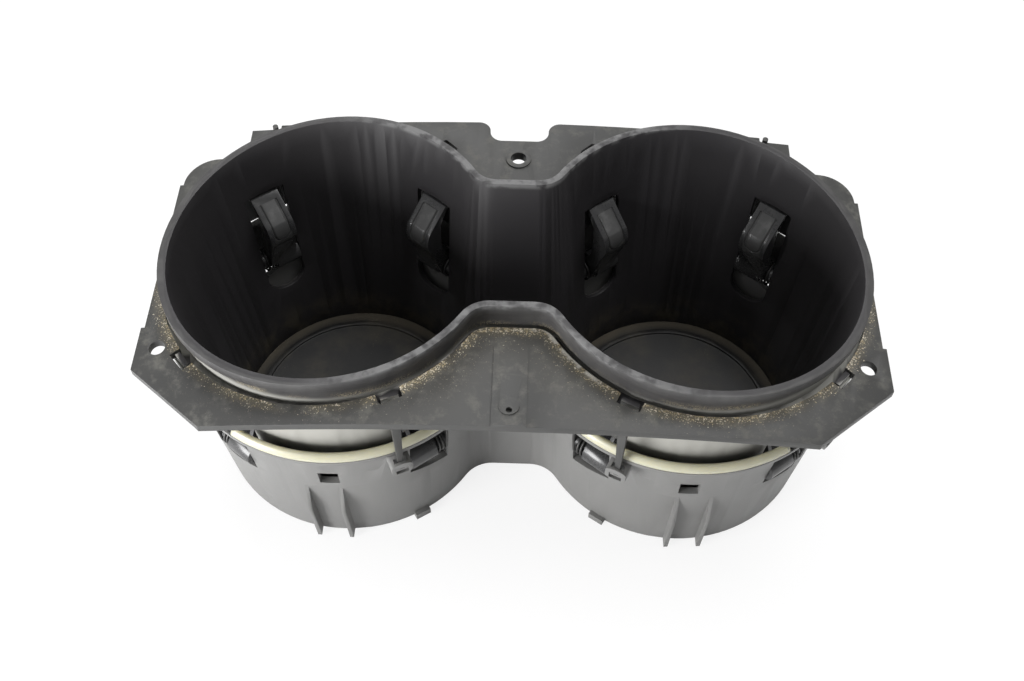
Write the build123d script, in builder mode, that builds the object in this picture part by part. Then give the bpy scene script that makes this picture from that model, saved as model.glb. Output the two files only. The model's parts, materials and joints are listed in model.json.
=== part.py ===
from build123d import *

import os
from math import cos, pi, radians, sin, sqrt, tan

# Twin car cup holder insert for a centre console, in millimetres.
# Origin: middle of the base. +X runs along the two cups, -Y is the front, +Z is up.

# Twin-cup outline
cup_pitch = 100.0
mouth_radius = 44.0
neck_half_width = 19.8
neck_blend = 8.5
draft_angle = 4.6
rim_height = 89.0
crown_radius = 700.0

# Liner
liner_wall = 1.5
lip_height = 3.4
lip_thickness = 1.8
shoulder_width = 4.5
shoulder_thickness = 1.6

# Mounting frame
flange_drop = 8.7
flange_thickness = 2.4
flange_half_length = 99.0
flange_half_width = 51.8
flange_opening = 2.2
front_chamfer_x = 21.2
front_chamfer_y = 18.0
rear_corner_depth = 12.4
rear_corner_radius = 9.0
rear_tab_half_length = 79.6
rear_step_half_length = 71.0
rear_step_depth = 1.6
side_step = 1.0
side_step_front = -20.5
side_step_rear = 30.0
notch_half_width = 8.5
notch_depth = 7.3
notch_corner = 3.5
rear_slot_x = 20.0
rear_slot_y = 42.4
rear_slot_length = 5.4
rear_slot_width = 1.4
rear_boss_radius = 3.6
rear_boss_rise = 0.5
side_hole_x = 93.2
side_hole_y = -27.3
rear_hole_y = 37.3
screw_hole_radius = 2.2
pad_width = 8.8
pad_top_y = -24.9
pad_height = 0.8
pad_boss_y = -46.4
pad_boss_radius = 2.6
pad_boss_rise = 0.5
pad_boss_hole_radius = 0.8
pocket_width = 6.4
pocket_reach = 3.0
tab_gap = 0.4
tab_thickness = 1.4
locating_pin_x = 72.3
locating_pin_y = 49.6
locating_pin_radius = 0.8
locating_pin_height = 2.0

# Lower housing
housing_wall = 2.0
housing_gap = 2.25
housing_height = 51.0
floor_thickness = 2.0
base_edge = 0.8
rail_width = 5.0
rail_thickness = 1.4
fin_offset = 4.9
fin_thickness = 1.2
fin_top = 36.0
fin_widest = 21.0
fin_bottom = 0.6
fin_reach = 47.0
fin_tip_reach = 45.2
window_width = 5.6
window_height = 6.4
window_base = 35.6
bottom_tab_angle = 57.5
bottom_tab_width = 4.8
bottom_tab_reach = 2.2
bottom_tab_height = 2.6

# Light guide
guide_clearance = 0.3
guide_height = 3.2
guide_width = 5.8
guide_slope = 2.5
guide_start_angle = 123.0
guide_end_angle = 36.0

# Snap hooks and eyes
hook_angles = (41.0, 65.5)
hook_width = 3.0
hook_thickness = 1.6
hook_barb = 1.4
hook_clearance = 0.3
post_inner = 5.3
hook_end = 36.6
barb_top = 41.4
eye_cheek = 1.2
eye_bar = 1.6
eye_base = 34.5
eye_top = 46.0

# Grip fingers
finger_angle = 53.0
finger_width = 8.6
finger_skin = 1.6
finger_cheek = 1.2
finger_top = 66.0
finger_crest_radius = 42.0
finger_back_radius = 39.4
nose_height = 55.5
nose_radius = 33.3
nose_half_height = 4.4
nose_setback = 1.4
pivot_radius = 42.5
pivot_height = 38.0
hub_radius = 4.2
hub_length = 12.0
hub_side_clearance = 0.3
spigot_radius = 2.7
coil_space = 3.9
coil_clearance = 0.2
wire_radius = 0.4
coil_turns = 2.5
coil_steps = 12
coil_pitch = 1.15
coil_gap = 0.1
pin_radius = 1.0
pin_clearance = 0.05
ear_length = 2.0
ear_inner_radius = 41.3
ear_half_height = 3.2
liner_window_top = 67.0
liner_window_base = 25.0
housing_window_base = 29.0
housing_window_slant = 3.2
swing_room_radius = 47.0
stop_radius = 44.3
stop_thickness = 1.2
stop_top = 69.2
channel_base = 43.5
channel_top = 62.1
seat_rib_radius = 38.7
seat_rib_base = 45.2
seat_rib_height = 1.8
coil_radius = 3.4
coil_leg_height = 9.0
pad_insert_width = 5.2
pad_insert_depth = 0.7
pad_insert_proud = 0.25
pad_groove = 0.35
pad_insert_base = 50.8
pad_insert_top = 64.6

# Floor mats
mat_clearance = 0.5
mat_thickness = 1.5
mat_ring_radius = 32.0
mat_ring_width = 1.6
mat_ring_height = 0.8

flange_top = rim_height - flange_drop
flange_base = flange_top - flange_thickness
lip_base = rim_height - lip_height
side_reach = flange_half_length + 5
half_window = hub_length / 2 + hub_side_clearance
coil_start = hub_length / 2 - coil_space
cups = {"left": -cup_pitch / 2, "right": cup_pitch / 2}

# Finger seats: name, cup axis, angle round the cup, and which way along the hub the coil lies.
# Hooks: cup axis and angle. Both are measured from each cup's outer end, and from its waist end.
seats = []
hooks = []
for side, cup_x in cups.items():
    outer_end = 180 if side == "left" else 0
    turn_way = -1 if side == "left" else 1
    for end, way in (("front", -turn_way), ("rear", turn_way)):
        seats.append((f"{side}_{end}_outer", cup_x, outer_end + way * finger_angle, -way))
        seats.append((f"{side}_{end}_inner", cup_x, outer_end + way * (180 - finger_angle), way))
        hooks.append((cup_x, outer_end + way * hook_angles[0]))
        hooks.append((cup_x, outer_end + way * (180 - hook_angles[1])))


def wall_shift(height):
    """Sideways shift of the drafted inner wall at a height, against the mouth."""
    return -(rim_height - height) * tan(radians(draft_angle))


def liner_shift(height):
    """Shift of the liner's outer face."""
    return wall_shift(height) + liner_wall


def housing_inner_shift(height):
    """Shift of the housing's inner face, parallel to the liner."""
    return liner_shift(height) + housing_gap


def housing_shift(height):
    """Shift of the housing's outer face."""
    return housing_inner_shift(height) + housing_wall


def figure_eight(height, shift):
    """Two circles joined by a waist, grown sideways by one shift."""
    with BuildSketch(Plane.XY.offset(height)) as outline:
        with Locations((-cup_pitch / 2, 0), (cup_pitch / 2, 0)):
            Circle(mouth_radius + shift)
        Rectangle(cup_pitch, 2 * (neck_half_width + shift))
        corners = vertices().filter_by(lambda v: abs(v.X) < cup_pitch / 4)
        fillet(corners, neck_blend - shift)
    return outline.sketch


def drafted_block(base, top, shift_at, mode=Mode.ADD):
    """Solid inside a drafted wall between two heights: drawn at its wide top and tapered to its base."""
    with BuildPart() as tapered:
        extrude(figure_eight(0, shift_at(top)), amount=top - base, taper=draft_angle)
    add(Pos(0, 0, top) * Rot(180, 0, 0) * tapered.part, mode=mode)


def crown_drop(x):
    """How far a crowned surface has fallen at a distance from the middle."""
    return crown_radius - sqrt(crown_radius**2 - x**2)


def crowned_slab(peak, base, mode=Mode.ADD):
    """Slab between two surfaces with the same crown, each given by its height in the middle."""
    reach = side_reach
    drop = crown_drop(reach)
    with BuildSketch(Plane.XZ) as section:
        with BuildLine():
            upper = ThreePointArc((-reach, peak - drop), (0, peak), (reach, peak - drop))
            lower = ThreePointArc((-reach, base - drop), (0, base), (reach, base - drop))
            Line(upper @ 0, lower @ 0)
            Line(upper @ 1, lower @ 1)
        make_face()
    extrude(section.sketch, amount=flange_half_width + 10, both=True, mode=mode)


def radial_plane(cup_x, angle):
    """Upright plane through a cup's axis: local x is the radius, local y the height."""
    turn = radians(angle)
    return Plane(origin=(cup_x, 0, 0), x_dir=(cos(turn), sin(turn), 0), z_dir=(sin(turn), -cos(turn), 0))


def facing_plane(cup_x, angle, radius):
    """Upright plane that faces out from a cup's axis: local x runs round the cup, local y up."""
    turn = radians(angle)
    foot = (cup_x + radius * cos(turn), radius * sin(turn), 0)
    return Plane(origin=foot, x_dir=(-sin(turn), cos(turn), 0), z_dir=(cos(turn), sin(turn), 0))


# Lip bead and shoulder of the liner: both follow the crown
with BuildPart() as lip:
    crowned_slab(rim_height, lip_base)
    extrude(figure_eight(0, lip_thickness), amount=rim_height + 1, mode=Mode.INTERSECT)

with BuildPart() as shoulder:
    crowned_slab(flange_base, flange_base - shoulder_thickness)
    extrude(figure_eight(0, shoulder_width), amount=rim_height, mode=Mode.INTERSECT)

# Liner: one drafted sleeve with eight round-footed finger windows
with BuildPart() as cup_liner:
    drafted_block(floor_thickness, rim_height, liner_shift)
    add(lip.part)
    add(shoulder.part)
    for cup_x, angle in hooks:
        tab_radius = mouth_radius + flange_opening + tab_gap
        tab_drop = crown_drop(cup_x + tab_radius * cos(radians(angle)))
        tab_height = flange_thickness + shoulder_thickness - tab_gap
        with BuildSketch(facing_plane(cup_x, angle, tab_radius)):
            with Locations((0, flange_base - tab_drop - shoulder_thickness + tab_height / 2)):
                Rectangle(pocket_width - 4 * tab_gap, tab_height)
        extrude(amount=tab_thickness)
    drafted_block(floor_thickness - 1, rim_height + 1, wall_shift, mode=Mode.SUBTRACT)
    crowned_slab(rim_height + 20, rim_height, mode=Mode.SUBTRACT)
    for _, cup_x, angle, _ in seats:
        with BuildSketch(facing_plane(cup_x, angle, nose_radius)):
            with BuildLine():
                foot = CenterArc((0, liner_window_base + half_window), half_window, 180, 180)
                head_corners = [(half_window, liner_window_top), (-half_window, liner_window_top)]
                Polyline(foot @ 1, *head_corners, foot @ 0)
            make_face()
        extrude(amount=mouth_radius + 1 - nose_radius, mode=Mode.SUBTRACT)
cup_liner.part.label = "cup_liner"

# Mounting frame: crowned plate, cut to the outline and the twin opening
with BuildPart() as pad:
    crowned_slab(flange_top + pad_height, flange_base)
    with BuildSketch():
        with BuildLine():
            half_pad = pad_width / 2
            brow = CenterArc((0, pad_top_y - half_pad), half_pad, 0, 180)
            Polyline(brow @ 1, (-half_pad, -flange_half_width), (half_pad, -flange_half_width), brow @ 0)
        make_face()
    extrude(amount=rim_height, mode=Mode.INTERSECT)

with BuildPart() as mounting_frame:
    crowned_slab(flange_top, flange_base)
    with BuildSketch():
        with BuildLine():
            Polyline(
                (0, -flange_half_width),
                (flange_half_length - front_chamfer_x, -flange_half_width),
                (flange_half_length, front_chamfer_y - flange_half_width),
                (flange_half_length, side_step_front),
                (flange_half_length - side_step, side_step_front),
                (flange_half_length - side_step, side_step_rear),
                (flange_half_length - 2 * side_step, side_step_rear),
                (flange_half_length - 2 * side_step, flange_half_width - rear_corner_depth),
                (rear_tab_half_length, flange_half_width - rear_corner_depth),
                (rear_tab_half_length, flange_half_width - rear_step_depth),
                (rear_step_half_length, flange_half_width - rear_step_depth),
                (rear_step_half_length, flange_half_width),
                (notch_half_width, flange_half_width),
                (notch_half_width, flange_half_width - notch_depth),
                (0, flange_half_width - notch_depth),
            )
            mirror(about=Plane.YZ)
        make_face()
        notch_corners = vertices().filter_by(lambda v: abs(abs(v.X) - notch_half_width) < 0.01)
        fillet(notch_corners, notch_corner)
        rear_side_x = flange_half_length - 2 * side_step
        rear_corners = vertices().filter_by(lambda v: abs(abs(v.X) - rear_side_x) < 0.01)
        fillet(rear_corners.filter_by(lambda v: v.Y > side_step_rear + 0.01), rear_corner_radius)
    extrude(amount=rim_height, mode=Mode.INTERSECT)
    add(pad.part)
    extrude(figure_eight(0, flange_opening), amount=rim_height, mode=Mode.SUBTRACT)
    for cup_x, angle in hooks:
        with BuildSketch(facing_plane(cup_x, angle, mouth_radius)):
            with Locations((0, flange_top)):
                Rectangle(pocket_width, 4 * flange_thickness + 10)
        extrude(amount=flange_opening + pocket_reach, mode=Mode.SUBTRACT)
    with BuildSketch():
        with Locations((side_hole_x, side_hole_y), (-side_hole_x, side_hole_y), (0, rear_hole_y)):
            Circle(screw_hole_radius)
    extrude(amount=rim_height, mode=Mode.SUBTRACT)
    with BuildSketch():
        with Locations((-rear_slot_x, rear_slot_y, 0)):
            SlotOverall(rear_slot_length, rear_slot_width, rotation=-45)
        with Locations((rear_slot_x, rear_slot_y, 0)):
            SlotOverall(rear_slot_length, rear_slot_width, rotation=45)
    extrude(amount=rim_height, mode=Mode.SUBTRACT)
    with BuildSketch(Plane.XY.offset(flange_top)):
        with Locations((0, pad_boss_y)):
            Circle(pad_boss_radius)
    extrude(amount=pad_height + pad_boss_rise)
    with BuildSketch(Plane.XY.offset(flange_top + pad_height + pad_boss_rise)):
        with Locations((0, pad_boss_y - pad_boss_radius / 2)):
            Circle(pad_boss_hole_radius)
    extrude(amount=-1.6, mode=Mode.SUBTRACT)
    with BuildSketch(Plane.XY.offset(flange_top - flange_thickness / 2)):
        with Locations((0, rear_hole_y)):
            Circle(rear_boss_radius)
            Circle(screw_hole_radius, mode=Mode.SUBTRACT)
    extrude(amount=flange_thickness / 2 + rear_boss_rise)
    for pin_x in (-locating_pin_x, locating_pin_x):
        pin_base = flange_base - crown_drop(pin_x)
        with BuildSketch(Plane.XY.offset(pin_base)):
            with Locations((pin_x, locating_pin_y)):
                Circle(locating_pin_radius)
        extrude(amount=flange_thickness + locating_pin_height)
    for cup_x, angle in hooks:
        post_x = cup_x + (mouth_radius + post_inner) * cos(radians(angle))
        root = flange_base - crown_drop(post_x) + 1.2
        inner = mouth_radius + post_inner
        outer = inner + hook_thickness
        with BuildSketch(radial_plane(cup_x, angle)):
            with BuildLine():
                Polyline(
                    (inner, root),
                    (inner, hook_end),
                    (outer - 0.4, hook_end),
                    (outer + hook_barb, barb_top - 0.6),
                    (outer + hook_barb, barb_top),
                    (outer, barb_top),
                    (outer, root),
                    close=True,
                )
            make_face()
        extrude(amount=hook_width / 2, both=True)
mounting_frame.part.label = "mounting_frame"

# Lower housing: drafted tub with rail, finger ears, snap eyes, fins and windows
with BuildPart() as lower_housing:
    drafted_block(0, housing_height, housing_shift)
    chamfer(edges().filter_by(lambda e: abs(e.center().Z) < 0.01), base_edge)
    extrude(figure_eight(housing_height - rail_thickness, rail_width), amount=rail_thickness)
    for cup_x, angle in hooks:
        eye_inner = mouth_radius - 1.5
        with BuildSketch(facing_plane(cup_x, angle, eye_inner)):
            with Locations((0, (eye_base + eye_top) / 2)):
                SlotOverall(eye_top - eye_base, hook_width + 2 * (hook_clearance + eye_cheek), rotation=90)
        extrude(amount=mouth_radius + post_inner + hook_thickness + hook_clearance + eye_cheek - eye_inner)
    for cup_x in cups.values():
        for fin_side in (-1, 1):
            fin_x = cup_x + fin_side * fin_offset
            with BuildSketch(Plane.YZ.offset(fin_x)):
                with BuildLine():
                    Polyline(
                        (-mouth_radius, fin_top),
                        (-fin_reach, fin_widest),
                        (-fin_tip_reach, fin_bottom),
                        (-mouth_radius + 4, fin_bottom + 1),
                        (-mouth_radius + 4, fin_top),
                        close=True,
                    )
                make_face()
            extrude(amount=fin_thickness / 2, both=True)
    drafted_block(floor_thickness, housing_height + 1, housing_inner_shift, mode=Mode.SUBTRACT)
    for cup_x, angle in hooks:
        room = mouth_radius + post_inner - hook_clearance
        reach = hook_thickness + 2 * hook_clearance
        with BuildSketch(facing_plane(cup_x, angle, room)):
            with Locations((0, (eye_base + eye_top) / 2)):
                Rectangle(hook_width + 2 * hook_clearance, eye_top - eye_base + 2)
        extrude(amount=reach, mode=Mode.SUBTRACT)
        with BuildSketch(facing_plane(cup_x, angle, room + reach - 0.1)):
            with Locations((0, (eye_base + eye_bar + barb_top + hook_clearance) / 2)):
                Rectangle(hook_width + 2 * hook_clearance, barb_top + hook_clearance - eye_base - eye_bar)
        extrude(amount=eye_cheek + 1, mode=Mode.SUBTRACT)
    for _, cup_x, angle, way in seats:
        with BuildSketch(facing_plane(cup_x, angle, ear_inner_radius - 3)):
            with BuildLine():
                Polyline(
                    (-way * half_window, housing_height + 1),
                    (-way * half_window, housing_window_base + housing_window_slant),
                    (way * half_window, housing_window_base),
                    (way * half_window, housing_height + 1),
                    close=True,
                )
            make_face()
        extrude(amount=swing_room_radius - ear_inner_radius + 3, mode=Mode.SUBTRACT)
        with BuildSketch(facing_plane(cup_x, angle, ear_inner_radius)):
            ear_middle = half_window + ear_length / 2
            with Locations((-ear_middle, pivot_height), (ear_middle, pivot_height)):
                Rectangle(ear_length, 2 * ear_half_height)
        extrude(amount=mouth_radius - ear_inner_radius)
        with BuildSketch(radial_plane(cup_x, angle)):
            with Locations((pivot_radius, pivot_height)):
                Circle(pin_radius)
            with Locations((pivot_radius - 1, pivot_height)):
                Rectangle(2, 2 * pin_radius)
        extrude(amount=half_window + ear_length, both=True, mode=Mode.SUBTRACT)
    for cup_x in cups.values():
        with BuildSketch(Plane.XZ.offset(mouth_radius - 3)):
            with Locations((cup_x, window_base + window_height / 2)):
                Rectangle(window_width, window_height)
        extrude(amount=6, mode=Mode.SUBTRACT)
        waist_angle = -bottom_tab_angle if cup_x < 0 else bottom_tab_angle - 180
        with BuildSketch(facing_plane(cup_x, waist_angle, mouth_radius - 3)):
            with Locations((0, bottom_tab_height / 2)):
                Rectangle(bottom_tab_width, bottom_tab_height)
        extrude(amount=bottom_tab_reach + 1)
lower_housing.part.label = "lower_housing"

# Light guides: one bar per cup, bent round the front and notched where fingers swing
guides = []
for side, cup_x in cups.items():
    with BuildPart() as light_guide:
        start = -guide_start_angle if side == "left" else guide_end_angle - 180
        bottom = housing_height
        top = bottom + guide_height
        with BuildSketch(radial_plane(cup_x, start)):
            with BuildLine():
                Polyline(
                    (mouth_radius + liner_shift(bottom) + guide_clearance, bottom),
                    (mouth_radius + guide_width - 1, bottom),
                    (mouth_radius + guide_width - 1, bottom + 0.8),
                    (mouth_radius + guide_width - 1 - guide_slope, top),
                    (mouth_radius + liner_shift(top) + guide_clearance, top),
                    close=True,
                )
            make_face()
        revolve(axis=Axis((cup_x, 0, 0), (0, 0, 1)), revolution_arc=guide_start_angle - guide_end_angle)
        for _, seat_x, angle, _ in seats:
            if seat_x == cup_x:
                with BuildSketch(facing_plane(cup_x, angle, mouth_radius - 8)):
                    with Locations((0, housing_height)):
                        Rectangle(finger_width + 1.4, 10)
                extrude(amount=swing_room_radius - mouth_radius + 8, mode=Mode.SUBTRACT)
    light_guide.part.label = f"light_guide_{side}"
    guides.append(light_guide)

# Mats: one disc with a raised ring on the floor of each cup
mats = []
for side, cup_x in cups.items():
    with BuildPart() as floor_mat:
        with BuildSketch(Plane.XY.offset(floor_thickness)):
            with Locations((cup_x, 0)):
                Circle(mouth_radius + wall_shift(floor_thickness) - mat_clearance)
        extrude(amount=mat_thickness)
        with BuildSketch(Plane.XY.offset(floor_thickness + mat_thickness)):
            with Locations((cup_x, 0)):
                Circle(mat_ring_radius + mat_ring_width / 2)
                Circle(mat_ring_radius - mat_ring_width / 2, mode=Mode.SUBTRACT)
        extrude(amount=mat_ring_height)
    floor_mat.part.label = f"floor_mat_{side}"
    mats.append(floor_mat)


def finger_outline(growth=0.0):
    """Side view of a grip finger above its hub, with the cup axis at the origin."""
    nose_edge = nose_radius + nose_setback
    with BuildSketch(Plane.XZ) as outline:
        with BuildLine():
            nose = ThreePointArc(
                (nose_edge, nose_height - nose_half_height),
                (nose_radius, nose_height),
                (nose_edge, nose_height + nose_half_height),
            )
            Polyline(
                nose @ 1,
                (finger_crest_radius, finger_top),
                (stop_radius, finger_top),
                (stop_radius, stop_top),
                (stop_radius + stop_thickness, stop_top),
                (stop_radius + stop_thickness, finger_top - finger_skin),
                (finger_crest_radius + 0.6, finger_top - finger_skin),
                (finger_back_radius, nose_height + nose_half_height),
                (finger_back_radius, nose_height - nose_half_height - 2),
                (pivot_radius + 0.5, pivot_height + hub_radius - 0.2),
                (pivot_radius, pivot_height),
                (pivot_radius - hub_radius + 0.1, pivot_height + 0.6),
                nose @ 0,
            )
        make_face()
        if growth:
            offset(amount=growth, kind=Kind.INTERSECTION)
    return outline.sketch


def insert_zone():
    """Side view of the room that the pad insert takes up round the nose and on the ramp."""
    with BuildSketch(Plane.XZ) as zone:
        with BuildLine():
            Polyline(
                (nose_radius - 3, pad_insert_base),
                (nose_radius + 3.2, pad_insert_base),
                (nose_radius + 3.2, nose_height + 2),
                (nose_radius + nose_setback + 1.5, nose_height + nose_half_height),
                (finger_crest_radius - 0.2, pad_insert_top),
                (nose_radius - 3, pad_insert_top),
                close=True,
            )
        make_face()
    return zone.sketch


# Grip finger, built on the +X side of a cup axis with the coil towards +Y, then seated eight times
with BuildPart() as finger:
    extrude(finger_outline(), amount=finger_width / 2, both=True)
    bend_skin = finger_skin * cos(radians(45))
    with BuildSketch(Plane.XZ):
        with BuildLine():
            Polyline(
                (pivot_radius + 3, channel_base),
                (pivot_radius - hub_radius + finger_skin * 0.2, channel_base),
                (nose_radius + nose_setback + finger_skin, nose_height - nose_half_height),
                (nose_radius + finger_skin, nose_height),
                (nose_radius + nose_setback + bend_skin, nose_height + nose_half_height - bend_skin),
                (finger_back_radius + 0.4, channel_top),
                (pivot_radius + 3, channel_top),
                close=True,
            )
        make_face()
    extrude(amount=finger_width / 2 - finger_cheek, both=True, mode=Mode.SUBTRACT)
    with BuildSketch(Plane.XZ):
        with Locations((seat_rib_radius - 1, seat_rib_base + seat_rib_height / 2)):
            Rectangle(2, seat_rib_height)
    extrude(amount=finger_width / 2 - finger_cheek, both=True)
    recess = (finger_outline(1) - finger_outline(-pad_insert_depth)) & insert_zone()
    extrude(recess, amount=pad_insert_width / 2 + pad_groove, both=True, mode=Mode.SUBTRACT)
    with BuildSketch(Plane.XZ.offset(-coil_start)):
        with Locations((pivot_radius, pivot_height)):
            Circle(hub_radius - coil_clearance)
    extrude(amount=-coil_space - 1, mode=Mode.SUBTRACT)
    leg_room = finger_width / 2 - finger_cheek - coil_start
    with BuildSketch(Plane.XZ.offset(-coil_start)):
        with Locations((pivot_radius - coil_radius + 4, (pivot_height + channel_base) / 2)):
            Rectangle(8 + 2 * wire_radius + 0.2, channel_base - pivot_height + 1)
    extrude(amount=-leg_room, mode=Mode.SUBTRACT)
    with BuildSketch(Plane.XZ.offset(-coil_start)):
        with Locations((pivot_radius, pivot_height)):
            Circle(hub_radius)
    extrude(amount=hub_length / 2 + coil_start)
    with BuildSketch(Plane.XZ.offset(-hub_length / 2)):
        with Locations((pivot_radius, pivot_height)):
            Circle(spigot_radius)
    extrude(amount=coil_space)
    with BuildSketch(Plane.XZ):
        with Locations((pivot_radius, pivot_height)):
            Circle(pin_radius + pin_clearance)
    extrude(amount=hub_length, both=True, mode=Mode.SUBTRACT)

with BuildPart() as insert:
    insert_section = (finger_outline(pad_insert_proud) - finger_outline(-pad_insert_depth)) & insert_zone()
    extrude(insert_section, amount=pad_insert_width / 2, both=True)

with BuildPart() as pin:
    with BuildSketch(Plane.XZ):
        with Locations((pivot_radius, pivot_height)):
            Circle(pin_radius)
    extrude(amount=half_window + ear_length - 0.1, both=True)

# Torsion spring: the inner leg bears on the finger's rib, the outer leg on the rail
with BuildPart() as spring:
    with BuildLine() as wire_path:
        steps = round(coil_turns * coil_steps)
        coil_points = []
        for step in range(steps + 1):
            bend = 2 * pi * step / coil_steps
            along = coil_start + wire_radius + coil_gap + coil_pitch * step / coil_steps
            across = pivot_radius - coil_radius * cos(bend)
            coil_points.append((across, along, pivot_height - coil_radius * sin(bend)))
        first = coil_points[0]
        last = coil_points[-1]
        Polyline(
            (first[0], first[1], pivot_height + coil_leg_height),
            *coil_points,
            (swing_room_radius - wire_radius - 0.05, last[1], housing_height - 0.8),
        )
    with BuildSketch(Plane(wire_path.line @ 0, z_dir=wire_path.line % 0)):
        RegularPolygon(wire_radius, 6, major_radius=True)
    sweep(path=wire_path.line, transition=Transition.RIGHT)



def seated(shape, cup_x, angle, way):
    """Copy of a finger-side shape at its seat, mirrored where the coil lies the other way."""
    handed = shape if way > 0 else mirror(shape, about=Plane.XZ)
    return Location((cup_x, 0, 0), (0, 0, angle)) * handed


os.makedirs("parts", exist_ok=True)
export_step(cup_liner.part, "parts/cup_liner.step")
export_step(mounting_frame.part, "parts/mounting_frame.step")
export_step(lower_housing.part, "parts/lower_housing.step")
for piece in guides + mats:
    export_step(piece.part, f"parts/{piece.part.label}.step")
for name, cup_x, angle, way in seats:
    kinds = {"grip_finger": finger, "finger_pad": insert, "finger_pin": pin, "finger_spring": spring}
    for kind, piece in kinds.items():
        placed = seated(piece.part, cup_x, angle, way)
        placed.label = f"{kind}_{name}"
        export_step(placed, f"parts/{kind}_{name}.step")
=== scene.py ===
import json
from math import cos, hypot, pi, radians, sin

import bmesh
import bpy
from mathutils import Matrix, Vector

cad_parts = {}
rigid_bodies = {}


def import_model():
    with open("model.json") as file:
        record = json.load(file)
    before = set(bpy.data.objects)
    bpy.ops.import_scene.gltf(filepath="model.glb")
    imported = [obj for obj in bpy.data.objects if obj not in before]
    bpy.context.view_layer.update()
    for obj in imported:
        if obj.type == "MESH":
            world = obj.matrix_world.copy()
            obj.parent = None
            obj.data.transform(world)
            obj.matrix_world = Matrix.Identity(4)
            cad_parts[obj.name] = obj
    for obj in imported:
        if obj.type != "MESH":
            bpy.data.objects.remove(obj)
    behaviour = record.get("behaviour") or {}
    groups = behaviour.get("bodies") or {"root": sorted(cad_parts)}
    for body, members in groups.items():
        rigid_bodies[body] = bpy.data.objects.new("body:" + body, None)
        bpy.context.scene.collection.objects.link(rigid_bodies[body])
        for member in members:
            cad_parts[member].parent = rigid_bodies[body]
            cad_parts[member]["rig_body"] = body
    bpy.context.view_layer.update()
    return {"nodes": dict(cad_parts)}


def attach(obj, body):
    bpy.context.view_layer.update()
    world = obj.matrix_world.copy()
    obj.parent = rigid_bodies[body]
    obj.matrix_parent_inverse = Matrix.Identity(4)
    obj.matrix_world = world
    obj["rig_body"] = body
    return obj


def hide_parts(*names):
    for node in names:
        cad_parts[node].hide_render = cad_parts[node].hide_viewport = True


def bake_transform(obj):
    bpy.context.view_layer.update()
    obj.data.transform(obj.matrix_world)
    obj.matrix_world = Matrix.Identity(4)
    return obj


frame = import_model()


# Lower housing: the outer tub, one moulding in black plastic that daylight and dust have turned grey.
# It carries the rail, the finger ears, the snap eyes and the fins. Its edges are rounded by the mould,
# and its skin has a fine spark-eroded grain with darker flow clouds and pale scuffs.
class Signal:
    """A value that runs through a material's nodes, written in sums as a plain number is."""

    def __init__(self, finish, socket):
        self.finish = finish
        self.socket = socket

    def _sum(self, operation, *terms):
        return self.finish.node("ShaderNodeMath", {"operation": operation}, dict(enumerate(terms)))

    def __add__(self, other):
        return self._sum("ADD", self, other)

    def __sub__(self, other):
        return self._sum("SUBTRACT", self, other)

    def __rsub__(self, other):
        return self._sum("SUBTRACT", other, self)

    def __mul__(self, other):
        return self._sum("MULTIPLY", self, other)

    def __pow__(self, other):
        return self._sum("POWER", self, other)

    def __abs__(self):
        return self._sum("ABSOLUTE", self)

    __radd__ = __add__
    __rmul__ = __mul__

    def least(self, other):
        return self._sum("MINIMUM", self, other)

    def most(self, other):
        return self._sum("MAXIMUM", self, other)

    def between(self, low, high, start=0.0, end=1.0):
        """Smooth step from start to end as the value goes from low to high."""
        settings = {"interpolation_type": "SMOOTHSTEP"}
        terms = {"Value": self, "From Min": low, "From Max": high, "To Min": start, "To Max": end}
        return self.finish.node("ShaderNodeMapRange", settings, terms)


class Finish:
    """A material in the making: a surface shader, and one method that adds any other node."""

    def __init__(self, name):
        self.material = bpy.data.materials.new(name)
        self.material.use_nodes = True
        self.tree = self.material.node_tree
        self.tree.nodes.clear()
        self.shader = self.tree.nodes.new("ShaderNodeBsdfPrincipled")
        output = self.tree.nodes.new("ShaderNodeOutputMaterial")
        self.tree.links.new(self.shader.outputs[0], output.inputs["Surface"])
        self.place = self.node("ShaderNodeTexCoord", out="Object")
        self.facing = self.node("ShaderNodeTexCoord", out="Normal")

    def node(self, kind, settings=None, terms=None, out=0):
        made = self.tree.nodes.new(kind)
        for setting, value in (settings or {}).items():
            setattr(made, setting, value)
        self.feed(made, terms or {})
        return Signal(self, made.outputs[out])

    def feed(self, made, terms):
        for key, value in terms.items():
            if isinstance(value, Signal):
                self.tree.links.new(value.socket, made.inputs[key])
            else:
                made.inputs[key].default_value = value

    def surface(self, **terms):
        self.feed(self.shader, {key.replace("_", " "): value for key, value in terms.items()})

    def axes(self, vector):
        split = self.node("ShaderNodeSeparateXYZ", {}, {"Vector": vector})
        sockets = split.socket.node.outputs
        return [Signal(self, socket) for socket in sockets]

    def stretched(self, scale, turn=(0, 0, 0)):
        """The place on the piece, scaled along each axis: what draws out grain into streaks."""
        terms = {"Vector": self.place, "Scale": scale, "Rotation": turn}
        return self.node("ShaderNodeMapping", {}, terms)

    def noise(self, scale, detail=3.0, rough=0.5, place=None):
        terms = {"Vector": place or self.place, "Scale": scale, "Detail": detail, "Roughness": rough}
        return self.node("ShaderNodeTexNoise", {}, terms)

    def grains(self, scale):
        terms = {"Vector": self.place, "Scale": scale}
        return self.node("ShaderNodeTexVoronoi", {}, terms, out="Distance")

    def mix(self, share, first, second):
        settings = {"data_type": "RGBA"}
        return self.node("ShaderNodeMix", settings, {0: share, 6: first, 7: second}, out=2)

    def bump(self, height, strength, depth):
        terms = {"Height": height, "Strength": strength, "Distance": depth}
        return self.node("ShaderNodeBump", {}, terms)


def wears(piece, finish):
    """Gives a piece its finish in every material slot."""
    piece.data.materials.clear()
    piece.data.materials.append(finish.material)


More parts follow.
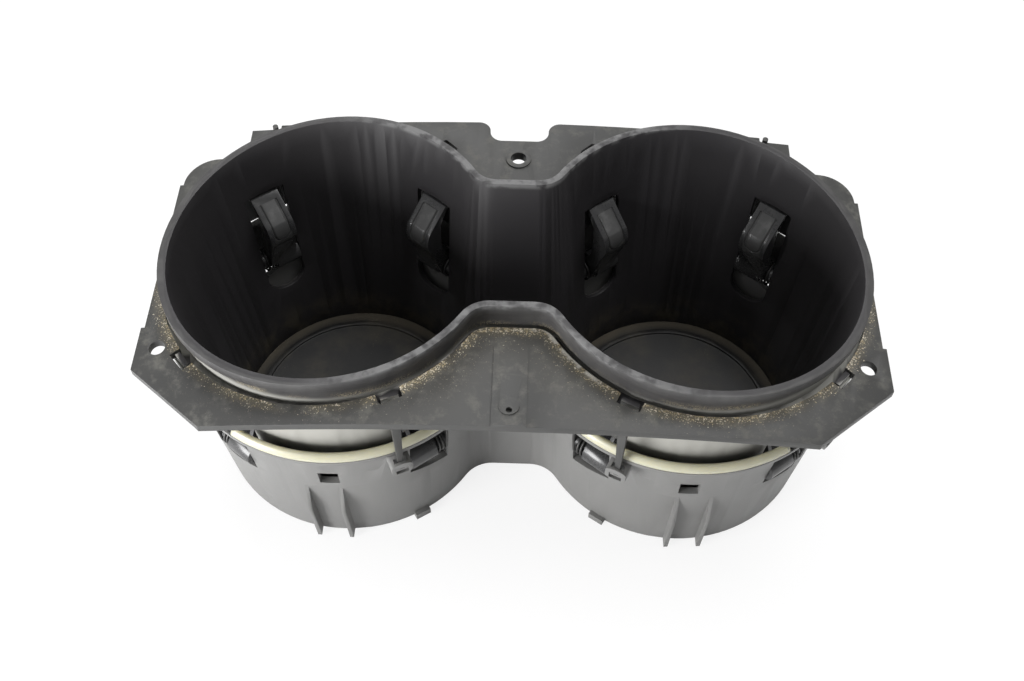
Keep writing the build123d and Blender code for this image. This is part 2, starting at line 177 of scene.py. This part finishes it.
def moulded_copy(node, round_edge, steps=2):
    """Copy of a CAD node as one closed mesh with its sharp edges rounded, which stands for the node."""
    weld, flat, sharp = 1e-6, radians(0.4), radians(38)
    source = frame["nodes"][node]
    mesh = bmesh.new()
    mesh.from_mesh(source.data)
    bmesh.ops.remove_doubles(mesh, verts=mesh.verts, dist=weld)
    bmesh.ops.dissolve_limit(mesh, angle_limit=flat, verts=mesh.verts, edges=mesh.edges)
    data = bpy.data.meshes.new(node + "_moulding")
    mesh.to_mesh(data)
    mesh.free()
    piece = bpy.data.objects.new(node + "_moulding", data)
    bpy.context.scene.collection.objects.link(piece)
    for face in data.polygons:
        face.use_smooth = True
    rounding = piece.modifiers.new("mould radius", "BEVEL")
    rounding.width = round_edge
    rounding.segments = steps
    rounding.limit_method = "ANGLE"
    rounding.angle_limit = sharp
    rounding.harden_normals = True
    rounding.use_clamp_overlap = True
    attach(piece, source["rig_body"])
    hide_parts(node)
    return piece


def black_plastic(name, colour, dusty, rough, grain_depth, dust_share, scuffed=0.22):
    """Moulded black plastic: fine grain, darker flow clouds, pale scuffs and dust on what faces up."""
    finish = Finish(name)
    _, _, up = finish.axes(finish.facing)
    clouds = finish.noise(38, 4).between(0.35, 0.7)
    drift = finish.noise(210, 5, 0.7).between(0.48, 0.72)
    brushed = finish.stretched((1, 9, 1), (0, 0, 0.6))
    scuffs = finish.noise(60, 6, 0.75, brushed).between(0.62, 0.72)
    settled = up.between(0.3, 0.95) * drift
    pale = (settled * dust_share + scuffs * scuffed + clouds * 0.12).least(1.0)
    grain = finish.noise(2600, 2, 0.6)
    finish.surface(
        Base_Color=finish.mix(pale, (*colour, 1), (*dusty, 1)),
        Roughness=rough + pale * 0.25 + grain * 0.06,
        Normal=finish.bump(grain, 0.35, grain_depth),
    )
    return finish


hook_seats = []
for cup_x, outer_end, turn in ((-0.05, 180, 1), (0.05, 0, -1)):
    for way in (turn, -turn):
        for hook_angle in (41.0, 114.5):
            hook_seats.append((cup_x, radians(outer_end + way * hook_angle)))


def tucked(piece, narrowed=1.0):
    """Draws the snap eyes and hook ends up under the rail and in towards the wall, as the real ones sit."""
    mouth_reach, mouth_height, lean = 0.04975, 0.089, 0.08045
    half_width, lowest, highest, skin = 0.0033, 0.034, 0.0466, 0.0001
    old_top, new_top, flattened, drawn_in = 0.046, 0.0494, 0.42, 0.72
    for vertex in piece.data.vertices:
        x, y, z = vertex.co
        for cup_x, angle in hook_seats:
            radius = (x - cup_x) * cos(angle) + y * sin(angle)
            across = y * cos(angle) - (x - cup_x) * sin(angle)
            wall = mouth_reach + (z - mouth_height) * lean
            if abs(across) < half_width and lowest < z < highest and radius > wall - skin:
                high = new_top - (old_top - z) * flattened
                reach = mouth_reach + (high - mouth_height) * lean + (radius - wall) * drawn_in
                aside = across * narrowed
                vertex.co = (
                    cup_x + reach * cos(angle) - aside * sin(angle),
                    reach * sin(angle) + aside * cos(angle),
                    high,
                )


def slimmed_rail(piece, amount):
    """Brings the outer edge of the housing's top rail in, until it is flush with the light guides."""
    cup_x, foot, top, inner_edge = 0.05, 0.0495, 0.05105, 0.0489
    mesh = bmesh.new()
    mesh.from_mesh(piece.data)
    moves = {}
    for vertex in mesh.verts:
        x, y, z = vertex.co
        if foot < z < top and hypot(abs(x) - cup_x, y) > inner_edge:
            sides = [face.normal for face in vertex.link_faces if abs(face.normal.z) < 0.1]
            out = Vector((sum(side.x for side in sides), sum(side.y for side in sides), 0))
            if out.length > 0.01:
                moves[vertex] = out.normalized() * amount
    for vertex, move in moves.items():
        vertex.co -= move
    mesh.to_mesh(piece.data)
    mesh.free()


def turned_fins(piece, turn):
    """Turns the two fins of each cup a little outward round the cup, to where the photograph has them."""
    cup_x, fin_offset, half_fin = 0.05, 0.0049, 0.0008
    wall_front, fin_foot, fin_head = -0.041, 0.0004, 0.0364
    for vertex in piece.data.vertices:
        x, y, z = vertex.co
        side = -1 if x < 0 else 1
        across = abs(abs(x) - cup_x)
        if y < wall_front and fin_foot < z < fin_head and abs(across - fin_offset) < half_fin:
            away = Vector((x - side * cup_x, y))
            spun = Matrix.Rotation(side * turn, 2) @ away
            vertex.co = (side * cup_x + spun.x, spun.y, z)


def joined_rings(name, rings):
    """Closed bar through rings of points, each ring joined to the next."""
    mesh = bmesh.new()
    rows = [[mesh.verts.new(spot) for spot in ring] for ring in rings]
    for row, following in zip(rows, rows[1:]):
        for corner in range(len(row)):
            around = (corner + 1) % len(row)
            mesh.faces.new((row[corner], row[around], following[around], following[corner]))
    mesh.faces.new(rows[0])
    mesh.faces.new(rows[-1])
    bmesh.ops.recalc_face_normals(mesh, faces=mesh.faces)
    data = bpy.data.meshes.new(name)
    mesh.to_mesh(data)
    mesh.free()
    tube = bpy.data.objects.new(name, data)
    bpy.context.scene.collection.objects.link(tube)
    for face in data.polygons:
        face.use_smooth = len(face.vertices) == 4
    return tube


faded, dust = (0.145, 0.144, 0.141), (0.26, 0.256, 0.243)
housing_skin = black_plastic("housing_skin", faded, dust, rough=0.42, grain_depth=0.00004, dust_share=0.5)
housing = moulded_copy("lower_housing", round_edge=0.00025)
slimmed_rail(housing, amount=0.0013)
tucked(housing)
turned_fins(housing, turn=radians(3.1))
wears(housing, housing_skin)


# Floor mats: pressed rubber discs with one raised ring, lying loose on the floor of each well.
# Rubber keeps its black, but spilt drinks and grit have left a brown bloom towards the walls.
def mat_rubber():
    """Black rubber with a brown bloom, grit in patches and a brown rear edge."""
    finish = Finish("mat_rubber")
    cup_x, black, brown = 0.05, (0.011, 0.011, 0.011, 1), (0.14, 0.12, 0.085, 1)
    across, along, _ = finish.axes(finish.place)
    reach = ((abs(across) - cup_x) ** 2 + along**2) ** 0.5
    edge = reach.between(0.0325, 0.0355) * along.between(0.0, 0.02)
    bloom = (finish.noise(55, 5, 0.65).between(0.42, 0.7) * 0.45 + edge * 0.8).least(1.0)
    grit = finish.grains(900).between(0.0, 0.22, 1.0, 0.0) * finish.noise(90, 3).between(0.5, 0.66)
    finish.surface(
        Base_Color=finish.mix((bloom * 0.5 + grit * 0.6).least(1.0), black, brown),
        Roughness=0.5 + bloom * 0.3,
        Normal=finish.bump(finish.noise(1500, 3) + grit * 2, 0.4, 0.00006),
    )
    return finish


rubber = mat_rubber()
for side in ("left", "right"):
    mat = moulded_copy(f"floor_mat_{side}", round_edge=0.0002)
    wears(mat, rubber)


# Liner: the twin well itself, one thin drafted sleeve in black plastic with a satin inside.
# Its lip is rubbed smooth and a little paler, its top edge carries a painted highlight over the wear, and dust has
# dried on the lower wall.
def liner_plastic():
    """Near-black and satin inside, pale grey on the outer wall as dust and painted light, with sand along the foot
    of the lip.
    """
    black, dust = (0.024, 0.0225, 0.0245), (0.05, 0.048, 0.045)
    finish = black_plastic("liner_skin", black, dust, 0.5, 0.00003, 0.3, scuffed=0.02)
    cup_x = 0.05
    across, along, high = finish.axes(finish.place)
    turned_x, turned_y, _ = finish.axes(finish.facing)
    side = across.between(-0.001, 0.001, -1.0, 1.0)
    outward = turned_x * (across - side * cup_x) + turned_y * along
    outside = outward.between(0.002, 0.01) * high.between(0.0775, 0.0805, 1.0, 0.0)
    lip = outward.between(0.002, 0.01) * high.between(0.078, 0.0805)
    flow = finish.noise(160, 4, 0.6, finish.stretched((1, 1, 0.25))).between(0.3, 0.7)
    # Top edge of the lip: a paler band, partly rubbed wear and partly a painted highlight.
    rim_wear_and_highlight = high.between(0.0868, 0.0885) * finish.noise(300, 4).between(0.35, 0.6)
    inner = finish.shader.inputs["Base Color"].links[0].from_socket
    # Outer wall below the lip: pale grey that is partly dust and partly painted light, lifting it out of the
    # flange's shade. Strongest at the front, fainter at the rear.
    outer_dust_and_painted_light = outside * along.between(-0.015, 0.015, 1.0, 0.2)
    tone = finish.mix(outer_dust_and_painted_light, Signal(finish, inner), (0.33, 0.325, 0.3, 1))
    tone = finish.mix(lip * (flow * 0.3 + 0.2), tone, (0.1, 0.099, 0.096, 1))
    tone = finish.mix(rim_wear_and_highlight * 0.6, tone, (0.19, 0.19, 0.19, 1))
    grit = finish.noise(2300, 2, 0.7).between(0.5, 0.56)
    foot = lip * high.between(0.0785, 0.0825, 1.0, 0.0) * along.between(-0.012, 0.0, 1.0, 0.2)
    sand = (foot * grit * finish.noise(70, 3).between(0.4, 0.62)).least(1.0)
    tone = finish.mix(sand, tone, (0.42, 0.36, 0.24, 1))
    patches = finish.noise(120, 5, 0.7).between(0.42, 0.66)
    dregs = high.between(0.004, 0.02, 1.0, 0.0) * patches * (1 - outside)
    tone = finish.mix(dregs * 0.55, tone, (0.1, 0.085, 0.055, 1))
    finish.surface(Base_Color=tone)
    return finish


liner_skin = liner_plastic()
liner = moulded_copy("cup_liner", round_edge=0.0003)
wears(liner, liner_skin)


# Light guides: cream bars of milky plastic that spread one lamp's light round the front of each well.
# They lie on the rail of the housing. The plastic is cloudy inside, with duller, darker patches here and there.
def milky_plastic():
    """Cloudy cream plastic that lets light in a few millimetres deep."""
    finish = Finish("milky_plastic")
    haze = finish.noise(70, 4, 0.6).between(0.35, 0.75)
    finish.surface(
        Base_Color=finish.mix(haze * 0.5, (0.5, 0.485, 0.365, 1), (0.4, 0.38, 0.28, 1)),
        Roughness=0.28 + haze * 0.2,
        Subsurface_Weight=0.35,
        Subsurface_Radius=(0.004, 0.0035, 0.002),
        Subsurface_Scale=1.0,
        Normal=finish.bump(finish.noise(400, 2), 0.15, 0.00005),
    )
    return finish


def guide_bar(side, cup_x, start, end):
    """Rod of milky plastic bent round a cup, with a flat foot, a leaning face and a rounded back."""
    outline = [(45.4, 51.0), (47.5, 51.0), (47.6, 51.1), (47.6, 51.7), (47.45, 52.15), (47.15, 52.7), (46.8, 53.1)]
    outline += [(46.5, 53.3), (46.05, 53.4), (45.7, 53.3), (45.5, 53.1), (45.4, 52.8)]
    rings = []
    steps = 72
    for step in range(steps + 1):
        turn = start + (end - start) * step / steps
        spots = [(r / 1000, high / 1000) for r, high in outline]
        rings.append([(cup_x + r * cos(turn), r * sin(turn), high) for r, high in spots])
    bar = joined_rings(f"light_guide_{side}_bar", rings)
    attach(bar, "holder")
    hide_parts(f"light_guide_{side}")
    return bar


milk = milky_plastic()
for side, cup_x, start, end in (("left", -0.05, -123, -36), ("right", 0.05, -144, -57)):
    guide = guide_bar(side, cup_x, radians(start), radians(end))
    wears(guide, milk)


# Mounting frame: the crowned plate that the console's screws hold, with the snap hooks under it.
# Sand and crumbs have gathered where it meets the liner's wall, with a white dried run at the neck.
def frame_skin():
    """Dull black plate with scuffs, tan sand in the corner round the liner and a dried white run."""
    finish = black_plastic("frame_skin", (0.036, 0.036, 0.035), (0.12, 0.117, 0.104), 0.5, 0.00004, 0.6)
    cup_x, well_reach, neck_depth, neck_length = 0.05, 0.0455, 0.0215, 0.031
    across, along, _ = finish.axes(finish.place)
    _, _, up = finish.axes(finish.facing)
    ring = ((abs(across) - cup_x) ** 2 + abs(along) ** 2) ** 0.5 - well_reach
    waist = (abs(along) - neck_depth).most(abs(across) - neck_length)
    away = ring.least(waist)
    top = up.between(0.5, 0.9)
    front = along.between(-0.015, 0.005, 1.0, 0.3)
    drifts = finish.noise(55, 4, 0.6).between(0.3, 0.52)
    grit = finish.noise(2300, 2, 0.7)
    close = away.between(0.0, 0.0045, 1.0, 0.0)
    spread = away.between(0.0, 0.02, 1.0, 0.0)
    neck = abs(across).between(0.012, 0.04, 1.0, 0.0) * along.between(-0.02, 0.0, 1.0, 0.0)
    banked = close * drifts * (neck * 0.1 + 0.85)
    heaped = (banked + spread * 0.1 + neck * spread * 0.05) * front
    speckle = (grit + heaped * 0.2).between(0.68, 0.73) * top * heaped.between(0.02, 0.2)
    film = (close * drifts + neck * spread * 0.12).least(1.0) * 0.5 * front * top
    inner = finish.shader.inputs["Base Color"].links[0].from_socket
    tone = finish.mix(film, Signal(finish, inner), (0.24, 0.205, 0.135, 1))
    tan, pale = (0.42, 0.34, 0.2, 1), (0.66, 0.6, 0.48, 1)
    hue = finish.mix(finish.noise(900, 2).between(0.4, 0.6), tan, pale)
    tone = finish.mix(speckle, tone, hue)
    stretch = across.between(0.004, 0.007) * across.between(0.021, 0.024, 1.0, 0.0)
    stretch = stretch * along.between(-0.012, -0.01, 1.0, 0.0)
    dried = finish.noise(420, 4, 0.6).between(0.38, 0.52)
    run = stretch * away.between(0.0009, 0.0022, 1.0, 0.0) * dried * top
    tone = finish.mix(run, tone, (0.62, 0.6, 0.54, 1))
    finish.surface(Base_Color=tone)
    return finish


plate_skin = frame_skin()
plate = moulded_copy("mounting_frame", round_edge=0.0002)
tucked(plate, narrowed=0.45)
wears(plate, plate_skin)


# Grip fingers: eight sprung flaps in grey-black plastic, polished by the cups that rub past them.
# Each carries a soft insert in a groove round its nose, turns on a steel pin and has a wire spring.
polished, rubbed = (0.03, 0.03, 0.031), (0.12, 0.12, 0.118)
finger_skin = black_plastic("finger_skin", polished, rubbed, 0.24, 0.00001, dust_share=0.3)
soft, worn = (0.05, 0.05, 0.05), (0.17, 0.17, 0.168)
insert_skin = black_plastic("insert_skin", soft, worn, 0.27, 0.00002, dust_share=0.4)


def steel(name, colour, rough):
    """Drawn steel wire or ground pin, with a faint darker mottle in its colour and roughness."""
    finish = Finish(name)
    streak = finish.noise(900, 3)
    red, green, blue = colour
    finish.surface(
        Base_Color=finish.mix(streak, (*colour, 1), (red * 0.6, green * 0.58, blue * 0.55, 1)),
        Metallic=1.0,
        Roughness=rough + streak * 0.15,
    )
    return finish


pin_steel = steel("pin_steel", (0.3, 0.3, 0.31), 0.35)
wire_steel = steel("wire_steel", (0.1, 0.1, 0.1), 0.45)


def stop_plate(finger, cup_x, angle):
    """Adds the plate on a finger's back that bears on the outside of the liner round its window."""
    thickness, width, height = 0.0007, 0.0142, 0.0131
    reach, middle = 0.0445, 0.06215
    turned = Matrix.Translation((cup_x, 0, 0)) @ Matrix.Rotation(angle, 4, "Z")
    mesh = bmesh.new()
    mesh.from_mesh(finger.data)
    placed = turned @ Matrix.Translation((reach, 0, middle))
    sized = Matrix.Diagonal((thickness, width, height, 1))
    bmesh.ops.create_cube(mesh, size=1.0, matrix=placed @ sized)
    mesh.to_mesh(finger.data)
    mesh.free()


def footed_pad(seat, cup_x, angle):
    """Soft insert with a round foot, in its groove round the nose and up the ramp of a finger."""
    nose_back, nose_high, nose_round, nose_lean = 40.914, 55.5, 7.614, 35.3
    half_pad, pad_columns, stations = 2.93, 40, 96
    foot_run, groove_reach, groove_half, groove_deep = 6.6, 2.62, 0.3, 0.45
    crown_reach, crown_rise = 2.5, 0.22
    path = [(34.79, 50.8)]
    for step in range(15):
        lean = radians(-nose_lean + 2 * nose_lean * step / 14)
        path.append((nose_back - nose_round * cos(lean), nose_high + nose_round * sin(lean)))
    path += [(34.7 + 5.63 * step / 8, 59.9 + 4.7 * step / 8) for step in range(1, 9)]
    turned = Matrix.Translation((cup_x, 0, 0)) @ Matrix.Rotation(angle, 4, "Z")
    lengths = [0.0]
    for (r0, z0), (r1, z1) in zip(path, path[1:]):
        lengths.append(lengths[-1] + hypot(r1 - r0, z1 - z0))
    mesh = bmesh.new()
    rows = []
    for station in range(stations + 1):
        run = lengths[-1] * station / stations
        spot = max(index for index, length in enumerate(lengths[:-1]) if length <= run + 1e-9)
        share = (run - lengths[spot]) / (lengths[spot + 1] - lengths[spot])
        (r0, z0), (r1, z1) = path[spot], path[spot + 1]
        slope = hypot(r1 - r0, z1 - z0)
        out_r, out_z = -(z1 - z0) / slope, (r1 - r0) / slope
        row = []
        for column in range(pad_columns + 1):
            across = -half_pad + 2 * half_pad * column / pad_columns
            below = foot_run - run
            reach = hypot(across, below) if below > 0 else abs(across)
            groove = max(0.0, 1 - ((reach - groove_reach) / groove_half) ** 2) * groove_deep
            proud = crown_rise * max(0.0, 1 - (reach / crown_reach) ** 6)
            rise = proud - groove
            r = r0 + (r1 - r0) * share + out_r * rise
            z = z0 + (z1 - z0) * share + out_z * rise
            row.append(mesh.verts.new(turned @ Vector((r / 1000, across / 1000, z / 1000))))
        rows.append(row)
    for row, following in zip(rows, rows[1:]):
        for column in range(pad_columns):
            corners = (row[column], row[column + 1], following[column + 1], following[column])
            mesh.faces.new(corners)
    bmesh.ops.recalc_face_normals(mesh, faces=mesh.faces)
    data = bpy.data.meshes.new(f"finger_pad_{seat}_footed")
    mesh.to_mesh(data)
    mesh.free()
    pad = bpy.data.objects.new(f"finger_pad_{seat}_footed", data)
    bpy.context.scene.collection.objects.link(pad)
    for face in data.polygons:
        face.use_smooth = True
    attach(pad, f"finger_{seat}")
    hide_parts(f"finger_pad_{seat}")
    return pad


def coiled_wire(seat, cup_x, angle, way):
    """Torsion spring in round wire: two and a half turns round the hub with a leg at either end."""
    pivot, high, coil, wire = 0.0425, 0.038, 0.0034, 0.0004
    first_turn, pitch, turn_steps, wound = 0.0026, 0.00115, 24, 60
    path = [Vector((pivot - coil, first_turn, high + rise)) for rise in (0.009, 0.004)]
    for step in range(wound + 1):
        bend = 2 * pi * step / turn_steps
        aside = first_turn + pitch * step / turn_steps
        path.append(Vector((pivot - coil * cos(bend), aside, high - coil * sin(bend))))
    last = path[-1]
    path += [Vector((0.0464, last.y, high + 0.006)), Vector((0.04655, last.y, high + 0.0122))]
    turned = Matrix.Translation((cup_x, 0, 0)) @ Matrix.Rotation(angle, 4, "Z")
    turned = turned @ Matrix.Diagonal((1, way, 1, 1))
    rings = []
    for index, spot in enumerate(path):
        before, after = path[max(index - 1, 0)], path[min(index + 1, len(path) - 1)]
        ahead = (after - before).normalized()
        level = Vector((0, 1, 0)).cross(ahead).normalized()
        raised = ahead.cross(level)
        round_wire = [2 * pi * corner / 8 for corner in range(8)]
        ring = [spot + (level * cos(turn) + raised * sin(turn)) * wire for turn in round_wire]
        rings.append([turned @ place for place in ring])
    spring = joined_rings(f"finger_spring_{seat}_wire", rings)
    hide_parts(f"finger_spring_{seat}")
    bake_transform(spring)
    return spring


for side, cup_x, outer_end, turn in (("left", -0.05, 180, 1), ("right", 0.05, 0, -1)):
    for end, way in (("front", turn), ("rear", -turn)):
        for row, angle, coil_way in (("outer", 53.0, -way), ("inner", 127.0, way)):
            seat = f"{side}_{end}_{row}"
            facing = radians(outer_end + way * angle)
            finger = moulded_copy(f"grip_finger_{seat}", round_edge=0.00035, steps=3)
            stop_plate(finger, cup_x, facing)
            wears(finger, finger_skin)
            insert = footed_pad(seat, cup_x, facing)
            wears(insert, insert_skin)
            wears(frame["nodes"][f"finger_pin_{seat}"], pin_steel)
            spring = coiled_wire(seat, cup_x, facing, coil_way)
            wears(spring, wire_steel)


# Felt strips: four pieces of black felt, stuck over the hub windows at the rear of the housing.
# They keep the fingers from rattling against the console and the dust out of their hinges.
def felt_strip(seat, cup_x, angle):
    """Strip of felt bent round the housing over one hub window."""
    inner, outer, foot, head = 46.95, 47.45, 30.0, 51.6
    spread, steps = 19.2, 12
    section = [(inner, foot), (outer, foot), (outer, head), (inner, head)]
    rings = []
    for step in range(steps + 1):
        turn = angle + radians(-spread / 2 + spread * step / steps)
        spots = [(r / 1000, high / 1000) for r, high in section]
        rings.append([(cup_x + r * cos(turn), r * sin(turn), high) for r, high in spots])
    strip = joined_rings(f"felt_strip_{seat}", rings)
    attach(strip, "holder")
    return strip


felt = Finish("felt")
fuzz = felt.noise(2200, 4, 0.8)
felt.surface(
    Base_Color=felt.mix(fuzz, (0.012, 0.012, 0.012, 1), (0.03, 0.029, 0.027, 1)),
    Roughness=0.95,
    Normal=felt.bump(fuzz, 0.6, 0.0002),
)
for side, cup_x, outer_end, way in (("left", -0.05, 180, -1), ("right", 0.05, 0, 1)):
    for row, angle in (("outer", 53.0), ("inner", 127.0)):
        strip = felt_strip(f"{side}_rear_{row}", cup_x, radians(outer_end + way * angle))
        wears(strip, felt)


# Studio: a white floor in a white surround, with a small softbox low at the front left and two
# broad ones above and behind. The camera stands above the front, where the photograph was taken.
floor_mesh = bmesh.new()
bmesh.ops.create_grid(floor_mesh, x_segments=1, y_segments=1, size=3.0)
floor_data = bpy.data.meshes.new("floor")
floor_mesh.to_mesh(floor_data)
floor_mesh.free()
floor = bpy.data.objects.new("floor", floor_data)
bpy.context.scene.collection.objects.link(floor)
paper = Finish("paper")
paper.surface(Base_Color=(0.95, 0.95, 0.95, 1), Roughness=0.9)
glow = paper.node("ShaderNodeEmission", {}, {"Color": (1, 1, 1, 1), "Strength": 1.0})
seen = paper.node("ShaderNodeLightPath", out="Is Camera Ray")
lit = Signal(paper, paper.shader.outputs[0])
shared = paper.node("ShaderNodeMixShader", {}, {0: seen * 0.82, 1: lit, 2: glow})
output = paper.tree.nodes["Material Output"]
paper.tree.links.new(shared.socket, output.inputs["Surface"])
floor_data.materials.append(paper.material)

world = bpy.data.worlds.new("studio")
bpy.context.scene.world = world
world.use_nodes = True
sky = world.node_tree
skies = [sky.nodes["Background"], sky.nodes.new("ShaderNodeBackground")]
for background, strength in zip(skies, (0.32, 1.0)):
    background.inputs["Color"].default_value = (1, 1, 1, 1)
    background.inputs["Strength"].default_value = strength
chosen = sky.nodes.new("ShaderNodeMixShader")
sky.links.new(sky.nodes.new("ShaderNodeLightPath").outputs["Is Camera Ray"], chosen.inputs[0])
sky.links.new(skies[0].outputs[0], chosen.inputs[1])
sky.links.new(skies[1].outputs[0], chosen.inputs[2])
sky.links.new(chosen.outputs[0], sky.nodes["World Output"].inputs["Surface"])


def soft_light(name, place, target, size, watts):
    """Square softbox that faces a point on the holder."""
    lamp = bpy.data.lights.new(name, "AREA")
    lamp.size = size
    lamp.energy = watts
    softbox = bpy.data.objects.new(name, lamp)
    bpy.context.scene.collection.objects.link(softbox)
    softbox.location = place
    softbox.rotation_euler = (Vector(target) - Vector(place)).to_track_quat("-Z", "Y").to_euler()


soft_light("key_light", (-0.4, -0.31, 0.15), (-0.04, 0, 0.03), 0.22, 3.6)
soft_light("top_light", (0.25, 0.1, 1.0), (0, 0, 0.05), 0.7, 8.0)
soft_light("rear_light", (-0.25, 0.9, 0.8), (0, 0, 0.05), 0.6, 6.0)

eye = bpy.data.cameras.new("camera")
eye.lens = 42.12
eye.sensor_width = 36.0
camera = bpy.data.objects.new("camera", eye)
bpy.context.scene.collection.objects.link(camera)
down, turned, rolled = 0.968, -0.025, 0.008
ahead = Vector((sin(turned) * cos(down), cos(turned) * cos(down), -sin(down)))
across = Vector((cos(turned), -sin(turned), 0))
upward = across.cross(ahead)
right = across * cos(rolled) + upward * sin(rolled)
top = upward * cos(rolled) - across * sin(rolled)
camera.matrix_world = Matrix.Translation((0.004474, -0.201172, 0.334839)) @ Matrix(
    (
        (right.x, top.x, -ahead.x, 0),
        (right.y, top.y, -ahead.y, 0),
        (right.z, top.z, -ahead.z, 0),
        (0, 0, 0, 1),
    )
)
bpy.context.scene.camera = camera
bpy.context.scene.view_settings.view_transform = "Standard"
